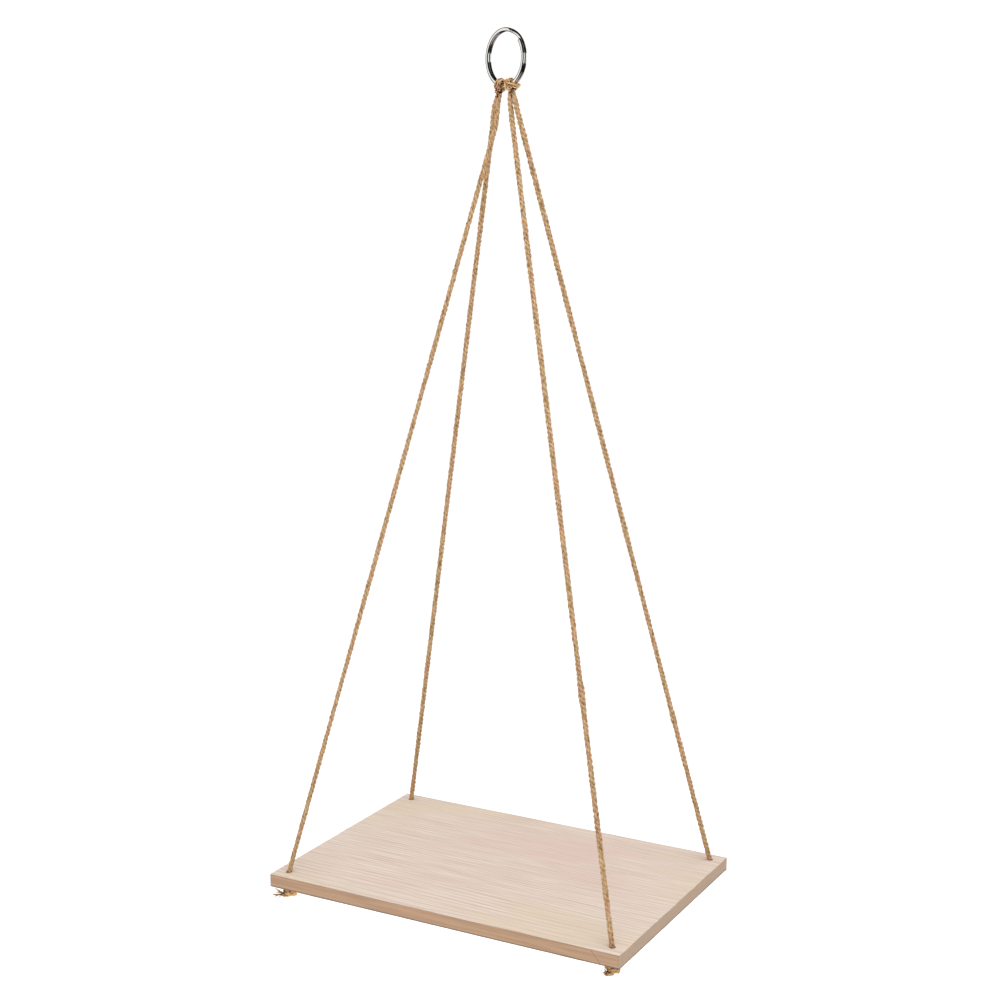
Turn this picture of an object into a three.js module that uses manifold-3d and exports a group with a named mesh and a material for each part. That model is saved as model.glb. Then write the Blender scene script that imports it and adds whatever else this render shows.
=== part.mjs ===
// Hanging rope shelf: a wooden board carried at its corners by two doubled cords on a split ring.
// Millimetres, +Z up, X along the board's long edge, Y towards its back.
// The origin is the hook's seat, on the inside top of the ring.
import * as THREE from "three";
import { mergeVertices } from "three/addons/utils/BufferGeometryUtils.js";
import Module from "manifold-3d";

// Board
const boardLength = 350;
const boardWidth = 240;
const boardThickness = 12;
const boardCornerRadius = 1.2;
const boardEdgeEase = 0.5;
const boardDrop = 746; // from the hook's seat down to the board's top
const holeInset = 12.5; // from the board's edges to the middle of each hole
const holePlay = 0.5; // all round the cord

// Cord
const cordDiameter = 4;
const squeezedDiameter = 3.5; // of the cord in its hitches and knots
const swellLength = 20; // of a leg's top, over which the squeezed cord comes back to its full size
const strandGap = 0.42; // between two strands of one hitch or knot
const meetGap = 0.3; // between pieces that touch on the real shelf
const bendLength = 6; // of a leg's easy bend, at its top and above its hole
const stubInHole = 2; // how far a knot's upright strand reaches up into the hole

// Split ring
const ringDiameter = 50;
const wireDepth = 3.3; // of the flattened wire, towards the ring's middle
const wireWidth = 2; // of the flattened wire, along the ring's axis
const wireCornerRadius = 0.7;
const coilGap = 0.45; // between the ring's two coils
const hitchPlay = 0.35; // between the wire and a cord that wraps it
const ringYaw = THREE.MathUtils.degToRad(21.5); // of the board's long edge, from the ring's plane
const crossingAt = THREE.MathUtils.degToRad(24); // where one coil steps over to the other, from the top
const crossingArc = THREE.MathUtils.degToRad(56);

// Frayed ends
const yarnDiameter = 1.05;
const yarnTipDiameter = 0.6;
const yarnLength = 7;
const yarnRoot = 1; // of the cord's end that still holds its yarns together
const yarnSpread = THREE.MathUtils.degToRad(40);

// Counts
const cordSides = 8;
const holeSides = 24;
const ringSteps = 50; // to each of its two turns
const hitchSteps = 72;
const knotSteps = 56;
const legSteps = 12;
const bendSteps = 4;
const outerYarnCount = 6; // round one in the middle
const yarnSides = 5;
const yarnSteps = 4;

// Sizes that follow from these
const cordRadius = cordDiameter / 2;
const squeezedRadius = squeezedDiameter / 2;
const strandPitch = squeezedDiameter + strandGap;
const holeRadius = cordRadius + holePlay;
const boardTop = -boardDrop;
const boardUnder = boardTop - boardThickness;
const ringInnerRadius = ringDiameter / 2 - wireDepth;
const ringRadius = ringDiameter / 2 - wireDepth / 2; // to the middle of the wire
const coilPitch = wireWidth + coilGap;
const wireReach = wireCornerRadius + Math.hypot(
  coilPitch / 2 + wireWidth / 2 - wireCornerRadius,
  wireDepth / 2 - wireCornerRadius,
);
const wrapRadius = wireReach + hitchPlay + squeezedRadius; // of a cord's middle round the two coils

// A hitch's places below the wire: sideways, to the front and down, in strand pitches.
// Down counts from the lowest strand that still wraps the wire.
const legSideShare = 0.51;
const legFrontShare = 0.08;
const legDropShares = [2.23, 1.785, 1.34];
const tuckShare = [0.51, 0.51, 0.45];
const underShares = [[1.5, -0.1, 0.17], [1.55, 0.5, 0.32], [1.4, 1.12, 0.625], [0.77, 1.53, 0.88]];
const barShare = [0, 1.57, 0.93];
const hitchSideShare = 2.09; // of each hitch's middle from the ring's
const hangDepthShare = 0.15; // below the wrapping strand, where the hitch's middle is measured
const turnDropShares = [-0.63, 1.16]; // where the legs begin and end their turn towards the board
const legDrop = legDropShares[0] * strandPitch;

const hangRadius = ringRadius + wrapRadius + hangDepthShare * strandPitch;
const hitchSide = hitchSideShare * strandPitch;
const hitchAngle = Math.asin(hitchSide / hangRadius);
const hitchTop = -ringRadius * Math.cos(hitchAngle); // the wire's height at a hitch, from the ring's middle
const ringMiddle = -ringInnerRadius;
const legTop = ringMiddle + hitchTop - wrapRadius - legDrop - meetGap;

// An overhand knot's cord, in strand pitches from the knot's middle: the upright strand comes down,
// the cord goes once round both strands, down through the middle and out to the side.
const knotShares = [
  [-0.5, 0, 1.2], [-0.5, 0, 0.45], [-0.58, 0.08, -0.2], [-0.58, 0.5, -0.75], [-0.15, 1.05, -1],
  [0.65, 1.25, -0.85], [1.4, 0.8, -0.5], [1.58, -0.2, -0.28], [0.95, -1.02, -0.12], [0, -1.2, 0],
  [-0.95, -1.02, 0.12], [-1.58, -0.2, 0.28], [-1.4, 0.8, 0.5], [-0.65, 1.25, 0.85], [0.15, 1.05, 1],
  [0.58, 0.5, 0.75], [0.58, 0.08, 0.2], [0.56, -0.1, -0.72], [0.52, -0.5, -1.14], [0.5, -1.1, -1.24],
  [0.5, -1.52, -1.1], [0.5, -1.94, -0.96],
];
const knotTop = strandPitch + squeezedRadius; // from the knot's middle up to its top strand

// The corners as seen from the front, and where each knot's tail turns from the front
const corners = [
  { name: "front_left", x: -1, y: -1, tailTurn: THREE.MathUtils.degToRad(-61) },
  { name: "back_left", x: -1, y: 1, tailTurn: THREE.MathUtils.degToRad(-20) },
  { name: "front_right", x: 1, y: -1, tailTurn: THREE.MathUtils.degToRad(-152) },
  { name: "back_right", x: 1, y: 1, tailTurn: THREE.MathUtils.degToRad(-160) },
];

const wood = new THREE.MeshStandardMaterial({ color: 0xe6d5c6, roughness: 0.62, metalness: 0 });
const hemp = new THREE.MeshStandardMaterial({ color: 0xb98a55, roughness: 0.85, metalness: 0 });
const hempKnot = new THREE.MeshStandardMaterial({ color: 0xa06c39, roughness: 0.88, metalness: 0 });
const nickel = new THREE.MeshStandardMaterial({ color: 0xd6d4d0, roughness: 0.14, metalness: 1 });

const wasm = await Module();
wasm.setup();

function circle(radius, sides) {
  const points = [];
  for (let side = 0; side < sides; side += 1) {
    const angle = (side + 0.5) * 2 * Math.PI / sides;
    points.push(new THREE.Vector2(radius * Math.cos(angle), radius * Math.sin(angle)));
  }
  return points;
}

// A route with one step from each of its points to the next
class Route extends THREE.Curve {
  constructor(points) {
    super();
    this.points = points;
  }

  getPointAt(share) {
    return this.points[Math.round(share * (this.points.length - 1))].clone();
  }

  getTangentAt(share) {
    const at = Math.round(share * (this.points.length - 1));
    const tangent = new THREE.Vector3();
    for (const step of [at - 1, at]) {
      if (step >= 0 && step + 1 < this.points.length) {
        tangent.add(this.points[step + 1].clone().sub(this.points[step]).normalize());
      }
    }
    return tangent.normalize();
  }
}

function tube(points, radius, sides) {
  const section = new THREE.Shape(circle(radius, sides));
  return new THREE.ExtrudeGeometry(section, {
    steps: points.length - 1,
    extrudePath: new Route(points),
    bevelEnabled: false,
  });
}

function smooth(points, steps) {
  return new THREE.CatmullRomCurve3(points, false, "centripetal").getSpacedPoints(steps);
}

// Prints how near a wound tube comes to itself, measured on a fine copy of its route
function reportGap(name, route, thickness) {
  const points = new THREE.CatmullRomCurve3(route, false, "centripetal").getSpacedPoints(route.length * 4);
  const step = points[1].distanceTo(points[0]);
  const apart = Math.ceil(2 * thickness / step);
  let least = Infinity;
  for (let from = 0; from < points.length; from += 1) {
    for (let to = from + apart; to < points.length; to += 1) {
      least = Math.min(least, points[from].distanceTo(points[to]));
    }
  }
  console.log(`${name}: least gap to itself ${(least - thickness).toFixed(2)} mm`);
}

function boardGeometry() {
  const outline = new THREE.Shape();
  const x = boardLength / 2 - boardCornerRadius;
  const y = boardWidth / 2 - boardCornerRadius;
  const quarter = Math.PI / 2;
  outline.absarc(x, y, boardCornerRadius, 0, quarter);
  outline.absarc(-x, y, boardCornerRadius, quarter, 2 * quarter);
  outline.absarc(-x, -y, boardCornerRadius, 2 * quarter, 3 * quarter);
  outline.absarc(x, -y, boardCornerRadius, 3 * quarter, 4 * quarter);
  for (const corner of corners) {
    const middle = holeMiddle(corner);
    const rim = circle(holeRadius, holeSides).map((point) => point.add(middle));
    outline.holes.push(new THREE.Path(rim.reverse()));
  }
  const board = new THREE.ExtrudeGeometry(outline, {
    depth: boardThickness - 2 * boardEdgeEase,
    bevelThickness: boardEdgeEase,
    bevelSize: boardEdgeEase,
    bevelOffset: -boardEdgeEase,
    bevelSegments: 2,
    curveSegments: 3,
  });
  return board.translate(0, 0, boardUnder + boardEdgeEase);
}

function holeMiddle(corner) {
  return new THREE.Vector2(
    corner.x * (boardLength / 2 - holeInset),
    corner.y * (boardWidth / 2 - holeInset),
  );
}

// The middle of the cord where it leans on the inner wall of its hole
function holeSeat(corner) {
  const middle = holeMiddle(corner);
  const lean = holePlay - meetGap;
  return middle.clone().sub(middle.normalize().multiplyScalar(lean));
}

// The flattened wire's section, across the ring's plane and outwards
function wireSection() {
  const points = [];
  const across = wireWidth / 2 - wireCornerRadius;
  const outwards = wireDepth / 2 - wireCornerRadius;
  for (const [x, y, start] of [[1, 1, 0], [-1, 1, 1], [-1, -1, 2], [1, -1, 3]]) {
    for (const part of [0, 1, 2]) {
      const angle = (start + part / 2) * Math.PI / 2;
      points.push([
        x * across + wireCornerRadius * Math.cos(angle),
        y * outwards + wireCornerRadius * Math.sin(angle),
      ]);
    }
  }
  return points;
}

// Two turns of flattened wire side by side, stepping from one coil to the other at the crossing
function ringGeometry() {
  const section = wireSection();
  const positions = [];
  const indices = [];
  const start = crossingAt + crossingArc / 2;
  const turned = 4 * Math.PI - crossingArc;
  const steps = 2 * ringSteps;
  const middles = [];
  for (let step = 0; step <= steps; step += 1) {
    const angle = start + turned * step / steps;
    const past = angle - start - (2 * Math.PI - crossingArc);
    const side = coilPitch * (THREE.MathUtils.smoothstep(past, 0, crossingArc) - 0.5);
    middles.push(new THREE.Vector3(ringRadius * Math.sin(angle), side, ringRadius * Math.cos(angle)));
    for (const [across, outwards] of section) {
      const radius = ringRadius + outwards;
      positions.push(radius * Math.sin(angle), side + across, ringMiddle + radius * Math.cos(angle));
    }
  }
  const sides = section.length;
  for (let step = 0; step < steps; step += 1) {
    for (let side = 0; side < sides; side += 1) {
      const near = step * sides + side;
      const next = step * sides + (side + 1) % sides;
      indices.push(near, next, next + sides, near, next + sides, near + sides);
    }
  }
  const last = steps * sides;
  for (let side = 1; side + 1 < sides; side += 1) {
    indices.push(0, side + 1, side);
    indices.push(last, last + side, last + side + 1);
  }
  const ring = new THREE.BufferGeometry();
  ring.setAttribute("position", new THREE.Float32BufferAttribute(positions, 3));
  ring.setIndex(indices);
  reportGap("split_ring", middles, wireWidth);
  return ring.toNonIndexed();
}

// A place on a strand that wraps the wire: how far round the ring from the hitch's middle,
// and how far round the wire, from its underside by way of the hitch's front
function onWrap(along, around) {
  const angle = hitchAngle + along;
  const radius = ringRadius + (wrapRadius + meetGap / 2) * Math.cos(around);
  return new THREE.Vector3(
    radius * Math.sin(angle),
    (wrapRadius + meetGap / 2) * Math.sin(around),
    -radius * Math.cos(angle),
  );
}

// A place below the wire, where the hitch turns from the ring's plane towards the board's long edge
function belowWrap(sideShare, frontShare, dropShare) {
  const turn = ringYaw * THREE.MathUtils.smoothstep(dropShare, ...turnDropShares);
  const side = sideShare * strandPitch;
  const front = frontShare * strandPitch;
  return new THREE.Vector3(
    hitchSide + side * Math.cos(turn) - front * Math.sin(turn),
    side * Math.sin(turn) + front * Math.cos(turn),
    hitchTop - wrapRadius - dropShare * strandPitch,
  );
}

// Half of the cow hitch right of the ring's middle, from a leg's top to the bar in front of the legs:
// up behind the bar, over the wire, down its back and out under it
function halfHitch(side) {
  const inner = side * legSideShare * strandPitch / (ringRadius - wrapRadius);
  const outer = side * underShares[0][0] * strandPitch / hangRadius;
  const wraps = [
    [0.95, 0, 64], [1, 0, 100], [1, 0, 140], [1, 0, 180],
    [0.8, 0.2, 220], [0.45, 0.55, 262], [0.1, 0.9, 305],
  ];
  return [
    ...legDropShares.map((drop) => belowWrap(side * legSideShare, legFrontShare, drop)),
    belowWrap(side * tuckShare[0], tuckShare[1], tuckShare[2]),
    ...wraps.map(([innerShare, outerShare, around]) => onWrap(
      innerShare * inner + outerShare * outer,
      THREE.MathUtils.degToRad(around),
    )),
    ...underShares.map(([out, front, drop]) => belowWrap(side * out, front, drop)),
  ];
}

function hitchRoute() {
  return [...halfHitch(1), belowWrap(...barShare), ...halfHitch(-1).reverse()];
}

// A leg's top, below its hitch: the left hitch is the right one turned half round
function legStart(corner) {
  const place = belowWrap(corner.y * legSideShare, legFrontShare, legDropShares[0]);
  place.multiplyScalar(corner.x);
  place.applyAxisAngle(new THREE.Vector3(0, 0, 1), -ringYaw);
  return place.setZ(legTop);
}

function bend(from, corner, to) {
  return new THREE.QuadraticBezierCurve3(from, corner, to).getPoints(bendSteps);
}

// Straight down from the hitch, along the slope to the corner, and straight down through the hole
function legRoute(corner) {
  const start = legStart(corner);
  const seat = holeSeat(corner);
  const down = new THREE.Vector3(0, 0, -1);
  const upper = start.clone().addScaledVector(down, squeezedDiameter + bendLength / 2);
  const lower = new THREE.Vector3(seat.x, seat.y, boardTop + bendLength / 4);
  const slope = lower.clone().sub(upper).normalize();
  const bottom = lower.clone().setZ(boardUnder + stubInHole + meetGap);
  const upperBend = bend(
    upper.clone().addScaledVector(down, -bendLength / 2),
    upper,
    upper.clone().addScaledVector(slope, bendLength / 2),
  );
  const lowerBend = bend(
    lower.clone().addScaledVector(slope, -bendLength / 2),
    lower,
    lower.clone().addScaledVector(down, bendLength / 2),
  );
  const run = [];
  for (let step = 1; step < legSteps; step += 1) {
    run.push(upperBend.at(-1).clone().lerp(lowerBend[0], step / legSteps));
  }
  return [start, ...upperBend, ...run, ...lowerBend, bottom];
}

// A leg, squeezed at its top where it leaves the hitch
function legGeometry(corner) {
  const route = legRoute(corner);
  const shares = route.map((place) => THREE.MathUtils.lerp(
    squeezedDiameter / cordDiameter,
    1,
    THREE.MathUtils.smoothstep(place.distanceTo(route[0]), 0, swellLength),
  ));
  return thinned(tube(route, cordRadius, cordSides), route, shares);
}

// The knot's cord in its own frame, its upright strand on the Z axis and the board's underside at zero
function knotPlace([x, y, z]) {
  return new THREE.Vector3(
    (x - knotShares[0][0]) * strandPitch,
    (y - knotShares[0][1]) * strandPitch,
    z * strandPitch - knotTop - meetGap,
  );
}

function knotRoute() {
  return [new THREE.Vector3(0, 0, stubInHole), ...knotShares.map(knotPlace)];
}

function solid(geometry) {
  const bare = geometry.clone();
  bare.deleteAttribute("normal");
  bare.deleteAttribute("uv");
  const merged = mergeVertices(bare);
  return new wasm.Manifold(new wasm.Mesh({
    numProp: 3,
    vertProperties: new Float32Array(merged.attributes.position.array),
    triVerts: new Uint32Array(merged.index.array),
  }));
}

function geometryOf(body) {
  const mesh = body.getMesh();
  const geometry = new THREE.BufferGeometry();
  geometry.setAttribute("position", new THREE.Float32BufferAttribute(mesh.vertProperties, 3));
  geometry.setIndex(Array.from(mesh.triVerts));
  return geometry.toNonIndexed();
}

// Draws a tube's rings in towards its middle line, each to its own share of the tube's size
function thinned(geometry, points, shares) {
  const position = geometry.attributes.position;
  const place = new THREE.Vector3();
  for (let at = 0; at < position.count; at += 1) {
    place.fromBufferAttribute(position, at);
    const far = points.map((point) => point.distanceTo(place));
    const step = far.indexOf(Math.min(...far));
    place.sub(points[step]).multiplyScalar(shares[step]).add(points[step]);
    position.setXYZ(at, place.x, place.y, place.z);
  }
  return geometry;
}

// One yarn, thinning to its tip as it bends away from the tail's line, which runs along -Y
function yarnGeometry(root, away, spread, length) {
  const ahead = new THREE.Vector3(0, -1, 0);
  const knee = root.clone().addScaledVector(ahead, length / 3);
  const aside = ahead.clone().multiplyScalar(Math.cos(spread)).addScaledVector(away, Math.sin(spread));
  const tip = root.clone().addScaledVector(aside, length);
  const points = new THREE.QuadraticBezierCurve3(root, knee, tip).getPoints(yarnSteps);
  const thinning = 1 - yarnTipDiameter / yarnDiameter;
  const shares = points.map((point, step) => 1 - thinning * step / yarnSteps);
  return thinned(tube(points, yarnDiameter / 2, yarnSides), points, shares);
}

// The cord's last bit with its yarns splayed, starting at the origin and running along -Y
function frayGeometry() {
  const middle = new THREE.Vector3(0, -yarnRoot / 2, 0);
  const end = [new THREE.Vector3(), new THREE.Vector3(0, -yarnRoot, 0)];
  let body = solid(tube(end, squeezedRadius, cordSides));
  body = body.add(solid(yarnGeometry(middle, new THREE.Vector3(), 0, yarnLength)));
  for (let number = 0; number < outerYarnCount; number += 1) {
    const around = (number + 0.5) * 2 * Math.PI / outerYarnCount;
    const away = new THREE.Vector3(Math.cos(around), 0, Math.sin(around));
    const root = middle.clone().addScaledVector(away, squeezedRadius - yarnDiameter / 2);
    const uneven = number % 2;
    const spread = yarnSpread * (1 - uneven / 3);
    body = body.add(solid(yarnGeometry(root, away, spread, yarnLength * (1 - uneven / 5))));
  }
  return geometryOf(body);
}

function named(name, geometry, material) {
  const mesh = new THREE.Mesh(geometry, material);
  mesh.name = name;
  return mesh;
}

const shelf = new THREE.Group();
shelf.add(named("shelf_board", boardGeometry(), wood));

// The ring's plane is turned from the board's long edge, and its hitches sit at its bottom
const ring = new THREE.Group();
ring.rotation.z = -ringYaw;
ring.add(named("split_ring", ringGeometry(), nickel));
const hitch = smooth(hitchRoute(), hitchSteps);
reportGap("ring hitch", hitchRoute(), squeezedDiameter);
for (const [name, turn] of [["right_ring_hitch", 0], ["left_ring_hitch", Math.PI]]) {
  const mesh = named(name, tube(hitch, squeezedRadius, cordSides), hemp);
  mesh.position.z = ringMiddle;
  mesh.rotation.z = turn;
  ring.add(mesh);
}
shelf.add(ring);

// Each corner's leg, stopper knot and frayed end
const knot = smooth(knotRoute(), knotSteps);
const tailEnd = knot.at(-1);
const tailAhead = tailEnd.clone().sub(knot.at(-2)).normalize();
reportGap("stopper knot", knotRoute(), squeezedDiameter);
for (const corner of corners) {
  shelf.add(named(`${corner.name}_cord`, legGeometry(corner), hemp));
  const seat = holeSeat(corner);
  const below = new THREE.Group();
  below.position.set(seat.x, seat.y, boardUnder);
  below.rotation.z = corner.tailTurn;
  below.add(named(`${corner.name}_knot`, tube(knot, squeezedRadius, cordSides), hempKnot));
  const fray = named(`${corner.name}_frayed_end`, frayGeometry(), hempKnot);
  fray.quaternion.setFromUnitVectors(new THREE.Vector3(0, -1, 0), tailAhead);
  fray.position.copy(tailEnd).addScaledVector(tailAhead, meetGap);
  below.add(fray);
  shelf.add(below);
}

export default shelf;
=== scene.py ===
"""Hanging rope shelf: a pale board hung at its corners by two hemp cords on a split ring."""

import math

import bmesh
import bpy
import numpy as np
from mathutils import Matrix, Vector


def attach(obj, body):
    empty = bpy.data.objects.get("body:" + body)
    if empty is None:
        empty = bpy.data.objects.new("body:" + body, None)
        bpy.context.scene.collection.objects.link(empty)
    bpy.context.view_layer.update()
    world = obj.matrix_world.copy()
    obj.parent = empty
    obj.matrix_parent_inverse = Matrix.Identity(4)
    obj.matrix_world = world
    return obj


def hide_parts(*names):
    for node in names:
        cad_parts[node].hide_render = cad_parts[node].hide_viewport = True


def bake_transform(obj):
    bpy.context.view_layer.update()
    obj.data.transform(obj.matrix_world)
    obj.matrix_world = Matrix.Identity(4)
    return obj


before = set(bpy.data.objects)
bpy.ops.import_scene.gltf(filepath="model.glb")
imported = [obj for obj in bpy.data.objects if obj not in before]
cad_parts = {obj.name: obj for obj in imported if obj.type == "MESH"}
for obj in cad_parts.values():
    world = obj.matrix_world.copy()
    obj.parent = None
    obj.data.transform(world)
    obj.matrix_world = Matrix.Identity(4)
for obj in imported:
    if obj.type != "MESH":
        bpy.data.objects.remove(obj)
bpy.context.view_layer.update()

mm = 0.001
UP = np.array((0.0, 0.0, 1.0))

# Camera, fitted to the photograph
CAMERA_YAW, CAMERA_PITCH, CAMERA_ROLL = 28.42, 10.953, 0.291  # degrees
CAMERA_PLACE = (736.8 * mm, -1368.1 * mm, -101.8 * mm)
CAMERA_LENS = 64.31
CAMERA_SENSOR = 36

# Board
BOARD_LENGTH = 350 * mm
BOARD_WIDTH = 240 * mm
BOARD_THICKNESS = 12 * mm
BOARD_CORNER_RADIUS = 1.2 * mm
BOARD_EDGE_EASE = 0.5 * mm
BOARD_TOP = -746 * mm
BOARD_UNDER = BOARD_TOP - BOARD_THICKNESS
SCRATCH_PLACE = 152.5 * mm  # on the front edge, at this height
SCRATCH_HEIGHT = BOARD_UNDER + 7 * mm
SCRATCH_SLOPE = 0.86
HOLE_INSET = 12.5 * mm
HOLE_RADIUS = 2.5 * mm
HOLE_SIDES = 56
HOLE_EDGE_EASE = 0.28 * mm

# Cord: three strands laid round each other, each of three yarns turned the other way
LAY_LENGTH = 13.6 * mm
YARN_LAY_LENGTH = 14 * mm
STRAND_OFFSET = 0.98 * mm
YARN_OFFSET = 0.5 * mm
YARN_RADIUS = 1.06 * mm
LAID_RADIUS = STRAND_OFFSET + YARN_OFFSET + YARN_RADIUS
YARN_SIDES = 8
HAIR_RADIUS = 0.034 * mm
HAIR_STEPS = 5
HAIRS_PER_MM = 1.1
HAIR_MOST_RISE = 1.2
LINE_STEP = 0.4 * mm  # between the rings of yarn in hitches and knots
LEG_STEP = 0.68 * mm
BEND_LENGTH = 6 * mm
HOLE_LEAN = 0.5 * mm  # of the cord towards the board's middle
STUB_IN_HOLE = 2 * mm
# Where each leg's straight run begins, below the stiff cord's bend out of its hitch
RUN_STARTS = {
    "front_left": (-10.3, 0.1, -80), "back_left": (-15.6, 5.1, -80),
    "front_right": (9.9, -5.1, -80), "back_right": (15.8, -0.1, -80)}

# Where a run is fuller or thinner: its height, how long the stretch is, and by what share
STRETCHES = {
    "left": (("front_left_cord", -420 * mm, 400 * mm, -0.1),),
    "right": (
        ("front_right_cord", -640 * mm, 110 * mm, 0.07),
        ("front_right_cord", -543 * mm, 7 * mm, 0.24),
        ("back_right_cord", -420 * mm, 400 * mm, -0.03),
        ("back_right_cord", -607 * mm, 6 * mm, 0.22))}

# Split ring
RING_RADIUS = 23.35 * mm
RING_INNER_RADIUS = 21.7 * mm
RING_MIDDLE = -RING_INNER_RADIUS
WIRE_DEPTH = 3.3 * mm
WIRE_WIDTH = 2 * mm
WIRE_FULLNESS = 3.2  # 2 would be an ellipse, and more is squarer
WIRE_SIDES = 44
COIL_PITCH = 2.45 * mm
RING_STEPS = 460
WIRE_REACH = 2.43 * mm  # of the two coils' corners from the middle of the pair
RING_YAW = math.radians(21.5)
CROSSING_AT = math.radians(24)
CROSSING_ARC = math.radians(56)

# Hitches, pulled tight: the shares are in widths of the squeezed cord
HITCH_SQUEEZE = 0.7
HITCH_PITCH = 2.25 * mm
HITCH_CLEARANCE = 0.2 * mm
WRAP_RADIUS = WIRE_REACH + HITCH_CLEARANCE + HITCH_SQUEEZE * LAID_RADIUS
HANG_RADIUS = RING_RADIUS + WRAP_RADIUS
HITCH_SIDES = {"left": 7.8 * mm, "right": 7.1 * mm}
BAR_SHIFT_SHARES = {"left": 0.4, "right": 1.05}  # of the bar along the ring
OUTER_LIFT_SHARES = {"left": 0, "right": 1.9}  # of the bar's outer end
# How far each leg has moved along the ring where it leaves its hitch: back and front
LEG_SHIFT_SHARES = {"left": (0.82, 0.8), "right": (0.55, 0.02)}
LEG_SIDE_SHARE = 0.5
LEG_FRONT_SHARES = (-0.1, -0.25, -0.35)
LEG_DROP_SHARES = (2.6, 2.0, 1.4)
LEG_PART_SHARES = (1, 0.97, 0.75)  # of its move along the ring that a leg has made
# Over the wire: shares of the inner and the outer place along the ring, and degrees round it
WRAP_PLACES = (
    (0.95, 0, 74), (1, 0, 106), (1, 0, 142), (1, 0, 180), (0.85, 0.15, 218), (0.5, 0.5, 256),
    (0.12, 0.88, 300))
OUTER_WRAP_SHARE = 1.12
# Under the wire to the bar: shares outward, forward and down
UNDER_PLACES = ((1.16, -0.2, 0.04), (1.3, 0.35, 0.14), (1.2, 0.9, 0.32), (0.66, 1.14, 0.46))
BAR_REACH_SHARE = 1.4
BAR_FRONT_SHARE, BAR_DROP_SHARE = 1.17, 0.5
LAYING_ROUNDS = 8
TURN_DROP_SHARES = (0.4, 2.2)

# Knots
KNOT_SQUEEZE = 0.93
KNOT_PITCH = 3.4 * mm
KNOT_HEIGHTS = {"front_left": 0.9, "back_left": 0.9, "front_right": 1.0, "back_right": 0.95}
KNOT_ENTRIES = {
    "front_left": (-0.16, -0.12, 0), "back_left": (-0.16, -0.08, 0),
    "front_right": (-0.16, -0.08, 0), "back_right": (-0.16, -0.08, 0)}
KNOT_SHARES = np.array((
    (-0.5, 0, 1.2), (-0.5, 0, 0.45), (-0.58, 0.08, -0.2), (-0.58, 0.5, -0.75), (-0.15, 1.05, -1),
    (0.65, 1.25, -0.85), (1.4, 0.8, -0.5), (1.58, -0.2, -0.28), (0.95, -1.02, -0.12), (0, -1.2, 0),
    (-0.95, -1.02, 0.12), (-1.58, -0.2, 0.28), (-1.4, 0.8, 0.5), (-0.65, 1.25, 0.85),
    (0.15, 1.05, 1), (0.58, 0.5, 0.75), (0.58, 0.08, 0.2), (0.56, -0.1, -0.72),
    (0.52, -0.5, -1.14), (0.5, -1.1, -1.24), (0.5, -1.52, -1.1), (0.5, -1.94, -0.96)))
TAIL_TURNS = {
    "front_left": -61, "back_left": -20, "front_right": -36, "back_right": -160}

# How far each frayed end's yarns spread, in degrees, and how long they are
FRAYS = {
    "front_left": (42, 9.5 * mm), "back_left": (32, 4.5 * mm),
    "front_right": (72, 3.2 * mm), "back_right": (32, 4.5 * mm)}

FRAY_YARNS = 13
FRAY_STEPS = 12
FRAY_SIDES = 7
GOLDEN_ANGLE = 2.399963  # spaces the yarns evenly over the cord's end

SIDES = {"left": -1, "right": 1}
DEPTHS = {"front": -1, "back": 1}


# ---------------------------------------------------------------- camera

def photo_camera():
    """The photograph's viewpoint: a little lower than the ring, to the right of the front."""
    yaw, pitch, roll = (math.radians(turn) for turn in (CAMERA_YAW, CAMERA_PITCH, CAMERA_ROLL))
    ahead = Vector((
        -math.sin(yaw) * math.cos(pitch), math.cos(yaw) * math.cos(pitch), -math.sin(pitch)))
    right = ahead.cross(Vector(UP)).normalized()
    above = right.cross(ahead)
    tilted = right * math.cos(roll) + above * math.sin(roll)
    upright = above * math.cos(roll) - right * math.sin(roll)
    camera = bpy.data.objects.new("photo_camera", bpy.data.cameras.new("photo_camera"))
    camera.data.lens = CAMERA_LENS
    camera.data.sensor_width = CAMERA_SENSOR
    camera.data.sensor_fit = "HORIZONTAL"
    camera.data.clip_start = 0.05
    camera.data.clip_end = 40
    axes = Matrix((tilted, upright, -ahead)).transposed().to_4x4()
    camera.matrix_world = Matrix.Translation(CAMERA_PLACE) @ axes
    bpy.context.scene.collection.objects.link(camera)
    bpy.context.scene.camera = camera


photo_camera()


# ---------------------------------------------------------------- lines that the cord follows

def smooth_line(points, step):
    """A centripetal spline through the points, in even steps."""
    points = np.asarray(points, float)
    ends = np.vstack((2 * points[0] - points[1], points, 2 * points[-1] - points[-2]))
    pieces = []
    for a, b, c, d in zip(ends, ends[1:], ends[2:], ends[3:]):
        first, middle, last = (
            math.sqrt(np.linalg.norm(q - p)) for p, q in ((a, b), (b, c), (c, d)))
        leave = ((b - a) / first - (c - a) / (first + middle) + (c - b) / middle) * middle
        arrive = ((c - b) / middle - (d - b) / (middle + last) + (d - c) / last) * middle
        t = np.linspace(0, 1, 24, endpoint=False)[:, None]
        pieces.append(
            b + leave * t + (3 * (c - b) - 2 * leave - arrive) * t ** 2
            + (2 * (b - c) + leave + arrive) * t ** 3)
    return even_line(np.vstack((*pieces, points[-1:])), step)


def run_of(points):
    """How far along the line each of its points is."""
    return np.concatenate(((0,), np.cumsum(np.linalg.norm(np.diff(points, axis=0), axis=1))))


def even_line(points, step):
    run = run_of(points)
    even = np.linspace(0, run[-1], max(2, round(run[-1] / step) + 1))
    return np.stack([np.interp(even, run, axis) for axis in points.T], 1)


def turned(points, angle):
    """The points turned about the upright axis through the origin."""
    cos, sin = math.cos(angle), math.sin(angle)
    return np.asarray(points) @ np.array(((cos, sin, 0), (-sin, cos, 0), (0, 0, 1)))


def smoothstep(value, low, high):
    t = np.clip((value - low) / (high - low), 0, 1)
    return t * t * (3 - 2 * t)


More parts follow.
